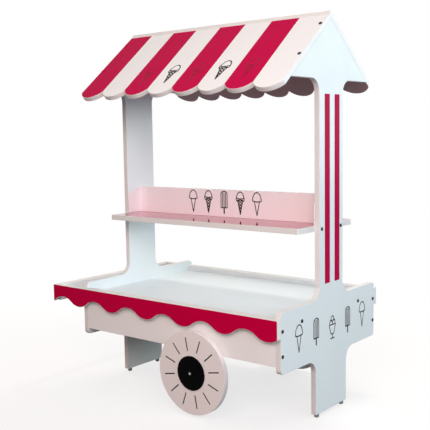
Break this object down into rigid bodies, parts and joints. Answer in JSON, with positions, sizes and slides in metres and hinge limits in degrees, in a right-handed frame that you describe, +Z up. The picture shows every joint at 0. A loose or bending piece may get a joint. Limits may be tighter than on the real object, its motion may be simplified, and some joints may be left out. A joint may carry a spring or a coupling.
{
  "type": "ice cream cart",
  "caption": "Board-built ice cream cart with a striped scalloped roof over end panels, a display tray and shelf, wavy valances, a push handle and disc wheels on stub axles.",
  "frame": {"origin": "on the floor, at the middle of the overall length and depth", "axes": "+X along the cart away from its handle, +Y across it to the rear, +Z up"},
  "size_m": [0.997, 0.6406, 1.274],
  "materials": {
    "white_laminate": "white melamine-faced board, satin",
    "red_laminate": "raspberry red laminate, glossy",
    "pink_laminate": "pink laminate, glossy",
    "black_plastic": "moulded black plastic",
    "zinc_steel": "zinc-plated steel"
  },
  "bodies": {
    "stall": {"panel_near": "white_laminate", "panel_far": "white_laminate", "tray_floor": "white_laminate", "handle_bar": "white_laminate", "shelf": "pink_laminate", "upstand": "pink_laminate", "rail_front": "white_laminate", "rail_rear": "white_laminate", "valance_front": "red_laminate", "valance_rear": "red_laminate", "roof_front": "red_laminate", "roof_rear": "red_laminate", "hanger_front": "white_laminate", "hanger_rear": "white_laminate", "axle_front": "zinc_steel", "axle_rear": "zinc_steel", "cheek_near_front": "pink_laminate", "cheek_near_rear": "pink_laminate", "cheek_far_front": "pink_laminate", "cheek_far_rear": "pink_laminate", "glide_near_front": "black_plastic", "glide_near_rear": "black_plastic", "glide_far_front": "black_plastic", "glide_far_rear": "black_plastic"},
    "wheel_front": {"wheel_front": "white_laminate", "hub_plate_front": "black_plastic"},
    "wheel_rear": {"wheel_rear": "white_laminate", "hub_plate_rear": "black_plastic"}
  },
  "joints": [
    {"name": "front_wheel_spin", "type": "hinge", "parent": "stall", "child": "wheel_front", "pos_m": [0.1695, -0.304, 0.144], "axis": [0, 1, 0], "continuous": true},
    {"name": "rear_wheel_spin", "type": "hinge", "parent": "stall", "child": "wheel_rear", "pos_m": [0.1695, 0.304, 0.144], "axis": [0, 1, 0], "continuous": true}
  ]
}
